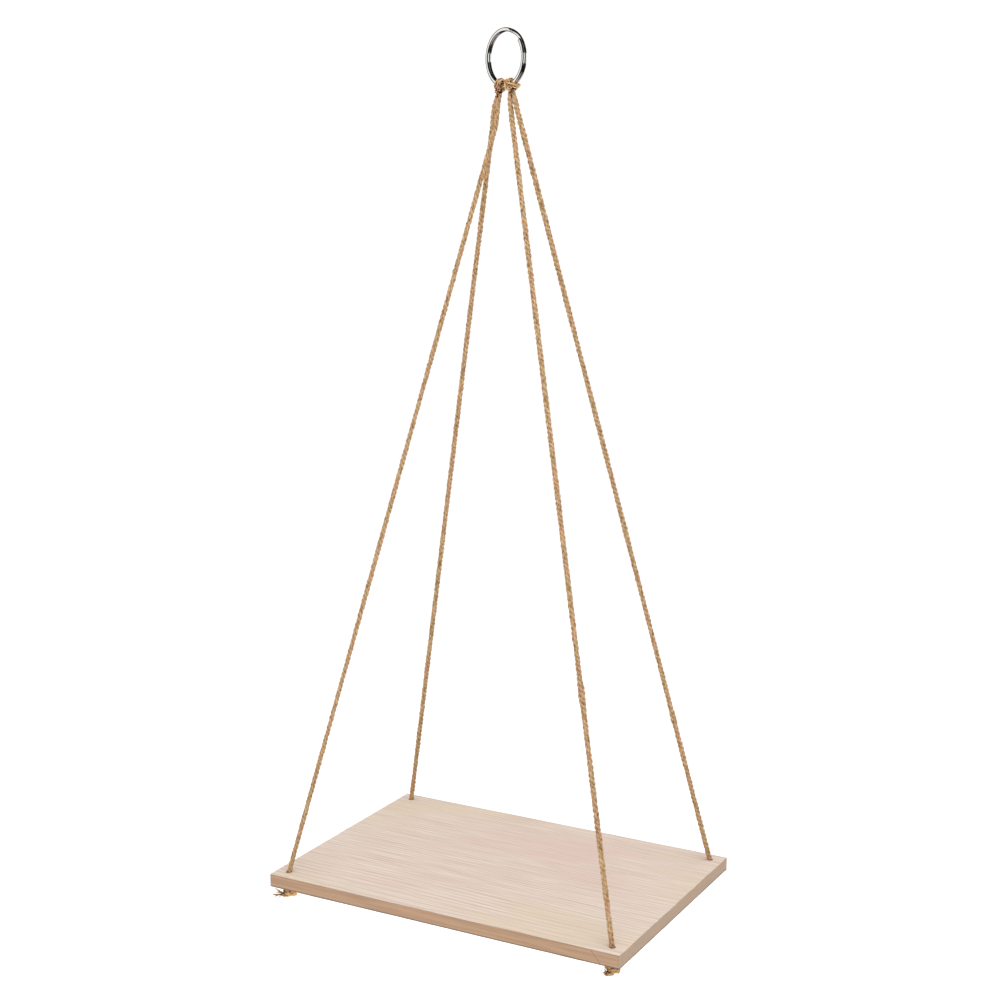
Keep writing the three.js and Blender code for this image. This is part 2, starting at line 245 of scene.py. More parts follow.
def clear_of_wire(line):
    """The line, about the ring's middle, moved off the two coils where it would cut into them."""
    out = np.hypot(line[:, 0], line[:, 2])
    section = np.stack((out - RING_RADIUS, line[:, 1]), 1)
    section *= np.maximum(1, WRAP_RADIUS / np.linalg.norm(section, axis=1))[:, None]
    scale = (RING_RADIUS + section[:, 0]) / out
    return np.stack((line[:, 0] * scale, section[:, 1], line[:, 2] * scale), 1)


def hitch_line(side):
    """From the back leg's top to the front leg's: up behind the bar, over the wire, down its back,
    out under it and across as the bar, and the same way back."""
    middle = HITCH_SIDES[side_name(side)]
    lift, aside = OUTER_LIFT_SHARES[side_name(side)], BAR_SHIFT_SHARES[side_name(side)]
    round_ring = math.asin(middle / HANG_RADIUS)
    wire = -RING_RADIUS * math.cos(round_ring)

    def on_wrap(along, around):
        angle = round_ring + along
        radius = RING_RADIUS + WRAP_RADIUS * math.cos(around)
        return radius * math.sin(angle), WRAP_RADIUS * math.sin(around), -radius * math.cos(angle)

    def below_wrap(out, front, drop):
        turn = RING_YAW * smoothstep(drop, *TURN_DROP_SHARES)
        drop -= lift * max(0, out) / BAR_REACH_SHARE
        out, front = out * HITCH_PITCH, front * HITCH_PITCH
        return (
            middle + out * math.cos(turn) - front * math.sin(turn),
            out * math.sin(turn) + front * math.cos(turn),
            wire - WRAP_RADIUS - drop * HITCH_PITCH)

    def half(way, shift):
        inner = way * LEG_SIDE_SHARE * HITCH_PITCH / (RING_RADIUS - WRAP_RADIUS)
        outer = (way * OUTER_WRAP_SHARE + aside) * HITCH_PITCH / HANG_RADIUS
        legs = zip(LEG_FRONT_SHARES, LEG_DROP_SHARES, LEG_PART_SHARES)
        return [
            *(below_wrap(way * LEG_SIDE_SHARE + shift * part, front, drop)
              for front, drop, part in legs),
            below_wrap(way * 0.52 + shift * 0.1, -0.1, 0.72),
            *(on_wrap(near * inner + far * outer, math.radians(at))
              for near, far, at in WRAP_PLACES),
            *(below_wrap(way * out + aside, front, drop) for out, front, drop in UNDER_PLACES)]

    back, front = LEG_SHIFT_SHARES[side_name(side)]
    bar_middle = below_wrap(aside, BAR_FRONT_SHARE, BAR_DROP_SHARE)
    route = np.array([*half(1, back), bar_middle, *half(-1, front)[::-1]])
    route[:, :2] *= side
    line = smooth_line(route, LINE_STEP)
    for _ in range(LAYING_ROUNDS):
        line = even_line(clear_of_wire(line), LINE_STEP)
        line[2:-2] = sum(line[at:len(line) - 4 + at] for at in range(5)) / 5
    line = even_line(clear_of_wire(line), LINE_STEP)
    line[:, 2] += RING_MIDDLE
    return turned(line, -RING_YAW)


def hole_middle(side, depth):
    return np.array((
        side * (BOARD_LENGTH / 2 - HOLE_INSET), depth * (BOARD_WIDTH / 2 - HOLE_INSET)))


def hole_seat(side, depth):
    """The middle of the cord where it leans on the inner wall of its hole."""
    middle = hole_middle(side, depth)
    return middle * (1 - HOLE_LEAN / np.linalg.norm(middle))


def bend(start, corner, end):
    t = np.linspace(0, 1, 16)[:, None]
    return start * (1 - t) ** 2 + 2 * corner * t * (1 - t) + end * t ** 2


def eased(start, leave, end, arrive):
    """A smooth line from one place and direction to another."""
    t = np.linspace(0, 1, 30)[:, None]
    far = np.linalg.norm(end - start)
    return (
        start * (1 + 2 * t) * (1 - t) ** 2 + far * leave * t * (1 - t) ** 2
        + end * t ** 2 * (3 - 2 * t) - far * arrive * t ** 2 * (1 - t))


def leg_line(side, depth, top, leave):
    """Out of the hitch, straight along the slope to the corner, and straight down in the hole."""
    seat = hole_seat(side, depth)
    run_start = np.array(RUN_STARTS[corner_name(side, depth)]) * mm
    lower = np.array((*seat, BOARD_TOP + BEND_LENGTH / 4))
    slope = (lower - run_start) / np.linalg.norm(lower - run_start)
    half = BEND_LENGTH / 2
    line = np.vstack((
        eased(top, leave * 1.2, run_start, slope * 0.9),
        bend(lower - slope * half, lower, lower - UP * half), (*seat, BOARD_UNDER + STUB_IN_HOLE)))
    return even_line(line, LEG_STEP)


def knot_line(side, depth):
    """Down out of the hole, once round both strands, down through the middle, out to the side."""
    name = corner_name(side, depth)
    places = (KNOT_SHARES - UP - KNOT_ENTRIES[name]) * (1, 1, KNOT_HEIGHTS[name])
    places = places * KNOT_PITCH - UP * (KNOT_SQUEEZE * LAID_RADIUS)
    line = turned(
        np.vstack(((0, 0, STUB_IN_HOLE), places)), math.radians(TAIL_TURNS[name]))
    return smooth_line(line + (*hole_seat(side, depth), BOARD_UNDER), LINE_STEP)


def side_name(side):
    return "left" if side < 0 else "right"


def corner_name(side, depth):
    return f"{'front' if depth < 0 else 'back'}_{side_name(side)}"


# ---------------------------------------------------------------- laid cord

def frames_along(points):
    """The line's direction, and two axes across it that don't twist on the way."""
    ahead = np.gradient(points, axis=0)
    ahead /= np.linalg.norm(ahead, axis=1)[:, None]
    across = np.empty_like(ahead)
    across[0] = np.cross(ahead[0], (0.36, 0.93, 0.1))
    for at in range(1, len(points)):
        across[at] = across[at - 1] - ahead[at] * np.dot(ahead[at], across[at - 1])
        across[at] /= np.linalg.norm(across[at])
    across[0] /= np.linalg.norm(across[0])
    return ahead, across, np.cross(ahead, across)


def unevenness(run, seed, lengths=(46 * mm, 15 * mm, 6 * mm), sizes=(0.03, 0.022, 0.02)):
    """A slow random change along a run, the same each time."""
    rng = np.random.default_rng(seed)
    total = np.zeros_like(run)
    for length, size in zip(lengths, sizes):
        knots = rng.normal(size=int(run[-1] / length) + 4)
        at = run / length
        low = at.astype(int)
        t = at - low
        t = t * t * (3 - 2 * t)
        total += size * (knots[low] * (1 - t) + knots[low + 1] * t)
    return total


class Mould:
    """Collects the vertices, faces and cord measures of one piece's mesh."""

    def __init__(self):
        self.vertices, self.faces, self.pulled, self.depth = [], [], [], []
        self.count = 0

    def tube(self, rings, pulled, depth):
        """Adds a tube: rings is steps x sides x 3, pulled is each vertex's place on the strand
        pulled straight, and depth is how much painted shade it gets, from 0 to 1."""
        steps, sides = rings.shape[:2]
        self.vertices.append(rings.reshape(-1, 3))
        self.pulled.append(pulled.reshape(-1, 3))
        self.depth.append(depth.reshape(-1))
        at = self.count + np.arange(steps * sides).reshape(steps, sides)
        near, far = at[:-1], at[1:]
        side = np.stack((near, np.roll(near, -1, 1), np.roll(far, -1, 1), far), -1)
        self.faces.extend(side.reshape(-1, 4).tolist())
        self.faces.append(at[0, ::-1].tolist())
        self.faces.append(at[-1].tolist())
        self.count += steps * sides

    def piece(self, name, finish):
        mesh = bpy.data.meshes.new(name)
        mesh.from_pydata(np.vstack(self.vertices).tolist(), [], self.faces)
        mesh.attributes.new("pulled_straight", "FLOAT_VECTOR", "POINT").data.foreach_set(
            "vector", np.vstack(self.pulled).astype(np.float32).ravel())
        # The painted shade, from 0 to 1, by which the hemp finish darkens each vertex.
        mesh.attributes.new("painted_shade", "FLOAT", "POINT").data.foreach_set(
            "value", np.concatenate(self.depth).astype(np.float32))
        mesh.polygons.foreach_set("use_smooth", [True] * len(mesh.polygons))
        mesh.materials.append(finish)
        piece = bpy.data.objects.new(name, mesh)
        bpy.context.scene.collection.objects.link(piece)
        return piece


def hair(mould, rng, root, ahead, out, length, rise):
    """One loose fibre, lying along the cord and rising from it."""
    t = np.linspace(0, 1, HAIR_STEPS)[:, None]
    sideways = np.cross(ahead, out)
    drift, curl = rng.normal(size=2).clip(-1.6, 1.6) * (0.1, 0.14)
    line = root + length * (ahead * t + sideways * (drift * t + curl * t ** 2))
    line = line + out * rise * t ** 1.6
    sides = np.arange(3) * 2 * math.pi / 3
    ring = out[None, :] * np.cos(sides)[:, None] + sideways[None, :] * np.sin(sides)[:, None]
    thickness = HAIR_RADIUS * (1 - 0.75 * t)
    rings = line[:, None, :] + ring[None] * thickness[:, :, None]
    pulled = np.zeros_like(rings) + rng.uniform(0, 0.05, 3)
    mould.tube(rings, pulled, np.zeros(rings.shape[:2]))


class Cord:
    """One long cord, from its back corner's tail up over the ring and down to its front tail."""

    def __init__(self, side):
        self.side = side
        hitch = hitch_line(side)
        leave = [hitch[0] - hitch[4], hitch[-1] - hitch[-5]]
        leave = [way / np.linalg.norm(way) for way in leave]
        parts = {
            f"back_{side_name(side)}_knot": knot_line(side, 1)[::-1],
            f"back_{side_name(side)}_cord": leg_line(side, 1, hitch[0], leave[0])[::-1],
            f"{side_name(side)}_ring_hitch": hitch,
            f"front_{side_name(side)}_cord": leg_line(side, -1, hitch[-1], leave[1]),
            f"front_{side_name(side)}_knot": knot_line(side, -1)}
        self.spans, points = {}, None
        for name, line in parts.items():
            start = 0 if points is None else len(points) - 1
            points = line if points is None else np.vstack((points[:-1], line))
            self.spans[name] = (start, len(points))
        self.points = points
        self.run = run_of(points)
        self.ahead, self.across, self.beside = frames_along(points)
        self.girth = self.squeeze() * (1 + unevenness(self.run, 11 + side))
        wander = unevenness(self.run, 31 + side, (38 * mm, 17 * mm), (0.55, 0.3))
        self.phase = -2 * math.pi * self.run / LAY_LENGTH + wander

    def squeeze(self):
        """The cord is squeezed in its hitch and knots, and full between them."""
        girth = np.ones(len(self.points))
        for name, (start, end) in self.spans.items():
            if name.endswith("_hitch"):
                girth[start:end] = HITCH_SQUEEZE
            elif name.endswith("_knot"):
                girth[start:end] = KNOT_SQUEEZE
        width = 10
        padded = np.pad(girth, width, mode="edge")
        return np.convolve(padded, np.ones(2 * width + 1) / (2 * width + 1), "valid")

    def thicken(self, name, at, length, share):
        """A fuller stretch of one leg, at a height."""
        start, end = self.spans[name]
        inside = (np.arange(len(self.run)) >= start) & (np.arange(len(self.run)) < end)
        far = (self.points[:, 2] - at) / length
        self.girth = self.girth * (1 + share * inside * np.exp(-far ** 2))

    def out_at(self, phase, at):
        return (
            self.across[at] * np.cos(phase)[..., None] + self.beside[at] * np.sin(phase)[..., None])

    def piece(self, name, finish, seed):
        start, end = self.spans[name]
        at = np.arange(start, end)
        mould = Mould()
        ring = np.arange(YARN_SIDES) * 2 * math.pi / YARN_SIDES
        cos, sin = np.cos(ring), np.sin(ring)
        run, girth = self.run[at], self.girth[at]
        for strand in range(3):
            phase = self.phase[at] + strand * 2 * math.pi / 3
            strand_out = self.out_at(phase, at)
            loose = unevenness(self.run, 60 + 50 * strand + self.side, sizes=(0.03, 0.04, 0.04))[at]
            middle = self.points[at] + strand_out * (STRAND_OFFSET * girth * (1 + loose))[:, None]
            for yarn in range(3):
                own = 300 + 10 * strand + yarn + 5 * self.side
                turn = 2 * math.pi * (run / YARN_LAY_LENGTH + yarn / 3)
                turn = turn + unevenness(self.run, own, (21 * mm, 9 * mm), (0.3, 0.25))[at]
                out, around = self.out_at(turn, at), self.out_at(turn + math.pi / 2, at)
                size = girth * (1 + unevenness(self.run, own + 3, sizes=(0.04, 0.06, 0.08))[at])
                yarn_middle = middle + out * (YARN_OFFSET * girth)[:, None]
                rings = yarn_middle[:, None] + (YARN_RADIUS * size)[:, None, None] * (
                    out[:, None] * cos[:, None] + around[:, None] * sin[:, None])
                pulled = np.empty(rings.shape)
                pulled[..., 0], pulled[..., 1] = YARN_RADIUS * cos, YARN_RADIUS * sin
                pulled[..., 2] = run[:, None] + own * 0.37
                # Painted shade: the nearer the surface lies to the cord's middle, down between the
                # strands, the darker it is painted.
                far = np.linalg.norm(rings - self.points[at][:, None], axis=2) / girth[:, None]
                depth = 1 - smoothstep(far, 1 * mm, LAID_RADIUS)
                # In hitches and knots, painted shade also darkens the surface next to other turns
                # of the cord.
                if not name.endswith("_cord"):
                    depth = np.maximum(depth, self.contact_shade(rings, at))
                mould.tube(rings, pulled, depth)
        self.fuzz(mould, at, seed)
        return mould.piece(name + "_laid", finish)

    def contact_shade(self, rings, at):
        """Painted shade where another turn of the same cord lies close: from 0 clear of it to 1
        against it.
        """
        near = np.full(rings.shape[:2], 1.0)
        for other in range(max(0, at[0] - 24), min(len(self.run), at[-1] + 24), 2):
            apart = np.abs(self.run[at] - self.run[other]) > 6.5 * mm
            far = np.linalg.norm(rings - self.points[other], axis=2) / self.girth[other]
            near = np.where(apart[:, None], np.minimum(near, far), near)
        return 1 - smoothstep(near, 0.85 * LAID_RADIUS, 1.6 * LAID_RADIUS)

    def fuzz(self, mould, at, seed):
        """Loose fibres all along the stretch."""
        rng = np.random.default_rng(seed)
        length = self.run[at[-1]] - self.run[at[0]]
        for _ in range(int(HAIRS_PER_MM * length / mm)):
            where = rng.integers(at[0] + 2, at[-1] - 12)
            out = self.out_at(np.array(rng.uniform(0, 2 * math.pi)), where)
            root = self.points[where] + out * 2.1 * mm * self.girth[where]
            lean = self.ahead[where] * rng.choice((-1, 1))
            rise = min(HAIR_MOST_RISE, rng.gamma(1.6, 0.28)) * mm
            hair(mould, rng, root, lean, out, rng.uniform(1.6, 5.5) * mm, rise)


# ---------------------------------------------------------------- shader maths

class Socket:
    """A number that varies over a surface. Sums and products of sockets add the maths nodes."""

    def __init__(self, finish, link):
        self.finish, self.link = finish, link

    def maths(self, operation, first, second=None):
        inputs = {0: first} if second is None else {0: first, 1: second}
        return self.finish.add("Math", {"operation": operation}, inputs)

    def __add__(self, other):
        return self.maths("ADD", self, other)

    def __radd__(self, other):
        return self.maths("ADD", other, self)

    def __sub__(self, other):
        return self.maths("SUBTRACT", self, other)

    def __rsub__(self, other):
        return self.maths("SUBTRACT", other, self)

    def __mul__(self, other):
        return self.maths("MULTIPLY", self, other)

    def __rmul__(self, other):
        return self.maths("MULTIPLY", other, self)

    def __pow__(self, other):
        return self.maths("POWER", self, other)

    def sine(self):
        return self.maths("SINE", self)

    def size(self):
        return self.maths("ABSOLUTE", self)

    def within(self, low, high):
        """0 below low, 1 above high, and a smooth step between them."""
        return self.finish.add(
            "MapRange", {"interpolation_type": "SMOOTHSTEP"},
            {"Value": self, "From Min": low, "From Max": high})


class Finish:
    """A material, made of nodes that one method adds."""

    def __init__(self, name, **shader_values):
        self.material = bpy.data.materials.new(name)
        self.material.use_nodes = True
        self.tree = self.material.node_tree
        self.shader = self.tree.nodes["Principled BSDF"]
        for socket, value in shader_values.items():
            title = socket.replace("_", " ").title().replace("Ior", "IOR")
            self.shader.inputs[title].default_value = value

    def add(self, kind, settings=None, inputs=None, output=0):
        node = self.tree.nodes.new("ShaderNode" + kind)
        for setting, value in (settings or {}).items():
            setattr(node, setting, value)
        for socket, value in (inputs or {}).items():
            self.put(node.inputs[socket], value)
        return Socket(self, node.outputs[output])

    def put(self, socket, value):
        if isinstance(value, Socket):
            self.tree.links.new(value.link, socket)
        elif socket.type == "RGBA" and len(value) == 3:
            socket.default_value = (*value, 1)
        else:
            socket.default_value = value

    def feed(self, **sockets):
        for socket, value in sockets.items():
            self.put(self.shader.inputs[socket.replace("_", " ").title()], value)

    def place(self):
        return self.add("TexCoord", output="Object")

    def scaled(self, vector, scale):
        return self.add("VectorMath", {"operation": "MULTIPLY"}, {0: vector, 1: scale})

    def noise(self, vector, scale, detail=3.0, roughness=0.55):
        return self.add("TexNoise", {}, {
            "Vector": vector, "Scale": scale, "Detail": detail, "Roughness": roughness})

    def mix(self, share, first, second):
        return self.add("Mix", {"data_type": "RGBA"}, {0: share, 6: first, 7: second}, 2)

    def bump(self, height, strength, distance):
        return self.add(
            "Bump", {}, {"Height": height, "Strength": strength, "Distance": distance})


def linear(red, green, blue):
    """A colour as it is seen, out of 255, in the renderer's light."""
    def channel(value):
        value /= 255
        return value / 12.92 if value <= 0.04045 else ((value + 0.055) / 1.055) ** 2.4
    return channel(red), channel(green), channel(blue)


def hemp_finish(name, pale, brown, dark, depth, flecks):
    """Twisted hemp: streaks along the fibres, with painted shade down between the strands and where
    turns of the cord touch.
    """
    finish = Finish(name, roughness=0.9, specular_ior_level=0.12)
    pulled = finish.add("Attribute", {"attribute_name": "pulled_straight"}, output="Vector")
    painted_shade = finish.add("Attribute", {"attribute_name": "painted_shade"}, output="Fac")
    fibres = finish.noise(finish.scaled(pulled, (3200, 3200, 150)), 1.0, 3.0, 0.6)
    yarns = finish.noise(finish.scaled(pulled, (500, 500, 170)), 1.0, 2.0, 0.5)
    stretches = finish.noise(finish.scaled(pulled, (60, 60, 38)), 1.0, 3.0, 0.6)
    tone = (fibres * 0.35 + yarns * 0.45 + stretches * 0.45 - 0.12).within(0.32, 0.76)
    colour = finish.mix(tone, brown, pale)
    along_yarn = finish.noise(finish.scaled(pulled, (220, 220, 75)), 1.0, 1.0, 0.5)
    across_cord = finish.noise(finish.scaled(finish.place(), (150, 150, 58)), 1.0, 1.5, 0.5)
    tints = along_yarn * 0.45 + across_cord * 0.55
    rosy, olive = linear(212, 158, 124), linear(184, 160, 110)
    colour = finish.mix(tints.within(0.52, 0.62) * 0.62, colour, rosy)
    colour = finish.mix((1 - tints.within(0.38, 0.47)) * 0.6, colour, olive)
    # Painted shade: the mesh's shade attribute, plus dark flecks where the yarn noise is low,
    # standing in for shade between the yarns.
    shade = painted_shade.within(0.25, 0.95) * depth + (1 - yarns.within(0.28, 0.46)) * flecks
    colour = finish.mix(shade, colour, dark)
    height = fibres * 0.6 + yarns * 0.4
    finish.feed(base_color=colour, normal=finish.bump(height, 0.75, 0.35 * mm))
    return finish.material


def board_finish():
    """A pale plain-sawn board, its growth rings running along it."""
    finish = Finish("pale_board_wood", roughness=0.55, specular_ior_level=0.3)
    place = finish.place()
    along = finish.add("SeparateXYZ", {}, {0: place}, "X")
    slow = finish.noise(finish.scaled(place, (3.2, 12, 12)), 1.0, 2.0, 0.5)
    wander = finish.noise(finish.scaled(place, (9, 70, 70)), 1.0, 2.0, 0.5)
    across = finish.add("SeparateXYZ", {}, {0: place}, "Y")
    deep = finish.add("SeparateXYZ", {}, {0: place}, "Z")
    off_middle = across + 0.16 + along * 0.03
    from_heart = ((off_middle * off_middle) + (deep + 0.83) * (deep + 0.83)) ** 0.5
    rings = (from_heart + slow * 0.012 + wander * 0.0035) * 1700
    late_wood = rings.sine().within(-0.2, 1.0)
    streaks = finish.noise(finish.scaled(place, (14, 520, 520)), 1.0, 4.0, 0.6)
    flecks = finish.noise(finish.scaled(place, (60, 2600, 2600)), 1.0, 2.0, 0.6)
    patches = finish.noise(finish.scaled(place, (5, 17, 17)), 1.0, 2.0, 0.5)
    pale, warm = linear(243, 228, 216), linear(201, 172, 149)
    rosy, honey, fleck = linear(230, 198, 186), linear(231, 211, 180), linear(180, 150, 128)
    grain = late_wood * 0.26 + streaks.within(0.3, 0.76) * 0.56
    colour = finish.mix(grain, pale, warm)
    colour = finish.mix(patches.within(0.5, 0.68) * 0.45, colour, rosy)
    colour = finish.mix((1 - patches.within(0.32, 0.48)) * 0.38, colour, honey)
    colour = finish.mix(flecks.within(0.58, 0.8) * 0.3, colour, fleck)
    # The sides and ends are coloured darker and more saturated than the top. This is partly the
    # wood's sawn long grain and its end grain, and partly painted shade on faces turned from the
    # overhead light.
    flat = finish.add("NewGeometry", output="Normal")
    upward = finish.add("SeparateXYZ", {}, {0: flat}, "Z").size()
    side = 1 - upward.within(0.3, 0.8)
    end = finish.add("SeparateXYZ", {}, {0: flat}, "X").size().within(0.3, 0.8)
    sawn = finish.mix(streaks.within(0.3, 0.7), linear(182, 139, 106), linear(202, 166, 132))
    sawn = finish.mix(patches.within(0.48, 0.66) * 0.35, sawn, linear(204, 150, 112))
    end_grain = finish.mix(flecks.within(0.35, 0.7), linear(200, 175, 151), linear(180, 154, 131))
    colour = finish.mix(side * 0.9, colour, finish.mix(end * 0.8, sawn, end_grain))
    # Painted shade along the bottom eased edge of the sides, where it turns down away from the
    # light, and a thin dark line along their top eased edge; both vary slowly along the board.
    lower_edge_shade = (BOARD_UNDER + 1.7 * mm - deep).within(0, 0.9 * mm)
    upper_edge = (deep - BOARD_TOP + 0.75 * mm).within(0, 0.4 * mm) * side
    edge_shade_and_line = (lower_edge_shade * side * 0.8 + upper_edge * 0.45) * (0.5 + slow.within(0.2, 0.6) * 0.5)
    colour = finish.mix(edge_shade_and_line, colour, linear(104, 90, 80))
    rim = (along.size() - BOARD_LENGTH / 2 + 0.9 * mm).within(0, 0.6 * mm)
    rim = rim + (across.size() - BOARD_WIDTH / 2 + 0.9 * mm).within(0, 0.6 * mm)
    rim = rim * (1 - side) * wander.within(0.3, 0.6) * 0.5
    colour = finish.mix(rim, colour, linear(150, 122, 104))
    upright = (along.size() - BOARD_LENGTH / 2 + 1.5 * mm).within(0, 0.9 * mm) * side * (1 - end)
    colour = finish.mix(upright * 0.45, colour, linear(140, 124, 112))
    off_scratch = (along - SCRATCH_PLACE + (deep - SCRATCH_HEIGHT) * SCRATCH_SLOPE).size()
    near_front = 1 - (across + 0.11).within(-2 * mm, 0)
    scratch = (1 - off_scratch.within(0.15 * mm, 0.6 * mm)) * near_front
    colour = finish.mix(scratch * side * 0.5, colour, linear(120, 84, 60))
    from_hole_x = along.size() - (BOARD_LENGTH / 2 - HOLE_INSET)
    from_hole_y = across.size() - (BOARD_WIDTH / 2 - HOLE_INSET)
    from_hole = (from_hole_x * from_hole_x + from_hole_y * from_hole_y) ** 0.5
    # Painted shade, nearly black, down each hole's wall and over its eased rim.
    hole_shade = 1 - from_hole.within(HOLE_RADIUS, HOLE_RADIUS + 0.55 * mm)
    colour = finish.mix(hole_shade * 0.9, colour, linear(40, 26, 18))
    height = streaks * 0.5 + flecks * 0.35 + late_wood * 0.2
    finish.feed(base_color=colour, normal=finish.bump(height, 0.3, 0.15 * mm))
    return finish.material


def nickel_finish():
    """Bright nickel plating with hair-fine scratches round the wire."""
    finish = Finish("bright_nickel", metallic=1.0)
    place = finish.place()
    scratches = finish.noise(finish.scaled(place, (900, 5200, 900)), 1.0, 2.0, 0.6)
    smears = finish.noise(finish.scaled(place, (90, 90, 90)), 1.0, 3.0, 0.6)
    finish.feed(
        base_color=finish.mix(
            smears.within(0.35, 0.7) * 0.4, (0.82, 0.815, 0.80), (0.70, 0.69, 0.67)),
        roughness=0.07 + scratches.within(0.5, 0.8) * 0.08 + smears * 0.05,
        normal=finish.bump(scratches, 0.05, 0.03 * mm))
    return finish.material


# ---------------------------------------------------------------- board

def rounded_outline(length, width, radius, step):
    """The board's outline with rounded corners, cut into short steps all round."""
    points = []
    for x, y, start in ((1, 1, 0), (-1, 1, 1), (-1, -1, 2), (1, -1, 3)):
        for part in np.linspace(0, 1, 7):
            angle = (start + part) * math.pi / 2
            points.append((
                x * (length / 2 - radius) + radius * math.cos(angle),
                y * (width / 2 - radius) + radius * math.sin(angle)))
    points = np.array(points)
    filled = []
    for here, after in zip(points, np.roll(points, -1, 0)):
        count = max(1, round(np.linalg.norm(after - here) / step))
        filled.extend(here + (after - here) * part / count for part in range(count))
    return np.array(filled)


def outward(points):
    """Each outline point's direction away from the wood."""
    along = np.roll(points, -1, 0) - np.roll(points, 1, 0)
    out = np.stack((along[:, 1], -along[:, 0]), 1)
    return out / np.linalg.norm(out, axis=1)[:, None]


def edge_loops(mesh, points, out, ease):
    """The wood's wall through an outline, eased at the top and the bottom, from the top down."""
    loops = []
    steps = np.linspace(0, math.pi / 2, 5)
    profile = [(1 - math.sin(a), 1 - math.cos(a), 1) for a in steps]
    profile += [(1 - math.sin(a), 1 - math.cos(a), -1) for a in steps[::-1]]
    for inset, drop, end in profile:
        z = BOARD_TOP - drop * ease if end > 0 else BOARD_UNDER + drop * ease
        place = points - out * (inset * ease)[:, None]
        loops.append([mesh.verts.new((*p, h)) for p, h in zip(place, z)])
    for upper, lower in zip(loops, loops[1:]):
        for at in range(len(upper)):
            after = (at + 1) % len(upper)
            mesh.faces.new((upper[at], lower[at], lower[after], upper[after]))
    return loops[0], loops[-1]


def make_board(finish):
    """The board with softly rubbed edges and four drilled holes."""
    rng = np.random.default_rng(5)
    mesh = bmesh.new()
    outline = rounded_outline(BOARD_LENGTH, BOARD_WIDTH, BOARD_CORNER_RADIUS, 3 * mm)
    wear = np.convolve(np.pad(rng.normal(size=len(outline)), 2, "wrap"), np.ones(5) / 5, "valid")
    ease = BOARD_EDGE_EASE * (1 + 0.35 * np.clip(wear, -1.2, 1.6))
    rims = [edge_loops(mesh, outline, outward(outline), ease)]
    for side in SIDES.values():
        for depth in DEPTHS.values():
            angles = -np.arange(HOLE_SIDES) * 2 * math.pi / HOLE_SIDES
            hole = np.stack((np.cos(angles), np.sin(angles)), 1)
            ragged = HOLE_EDGE_EASE * (1 + 0.3 * rng.normal(size=HOLE_SIDES).clip(-1.5, 1.5))
            rims.append(edge_loops(
                mesh, hole_middle(side, depth) + HOLE_RADIUS * hole, -hole, ragged))
    for end in (0, 1):
        edges = []
        for rim in rims:
            loop = rim[end]
            edges += [
                mesh.edges.get((loop[at], loop[(at + 1) % len(loop)])) for at in range(len(loop))]
        bmesh.ops.triangle_fill(mesh, edges=edges, use_beauty=True)
    bmesh.ops.recalc_face_normals(mesh, faces=mesh.faces)
    data = bpy.data.meshes.new("board")
    mesh.to_mesh(data)
    mesh.free()
    board = bpy.data.objects.new("board", data)
    bpy.context.scene.collection.objects.link(board)
    data.materials.append(finish)
    for face in data.polygons:
        face.use_smooth = abs(face.normal.z) < 0.999
    return board


# ---------------------------------------------------------------- split ring

def wire_section():
    """Round wire that was rolled flat: its faces are softly crowned."""
    angles = np.arange(WIRE_SIDES) * 2 * math.pi / WIRE_SIDES
    cos, sin = np.cos(angles), np.sin(angles)
    return np.stack((
        WIRE_WIDTH / 2 * np.sign(cos) * np.abs(cos) ** (2 / WIRE_FULLNESS),
        WIRE_DEPTH / 2 * np.sign(sin) * np.abs(sin) ** (2 / WIRE_FULLNESS)), 1)


def make_ring(finish):
    """Two turns of flattened wire side by side, stepping from one to the other at the crossing."""
    section = wire_section()
    start = CROSSING_AT + CROSSING_ARC / 2
    turned_by = 4 * math.pi - CROSSING_ARC
    rings = []
    for angle in start + turned_by * np.linspace(0, 1, RING_STEPS):
        past = angle - start - (2 * math.pi - CROSSING_ARC)
        aside = COIL_PITCH * (smoothstep(past, 0, CROSSING_ARC) - 0.5)
        radius = RING_RADIUS + section[:, 1]
        rings.append(np.stack((
            radius * math.sin(angle), aside + section[:, 0],
            RING_MIDDLE + radius * math.cos(angle)), 1))
    mould = Mould()
    rings = turned(np.array(rings), -RING_YAW)
    mould.tube(rings, rings, np.zeros(rings.shape[:2]))
    return mould.piece("ring", finish)


# ---------------------------------------------------------------- frayed ends

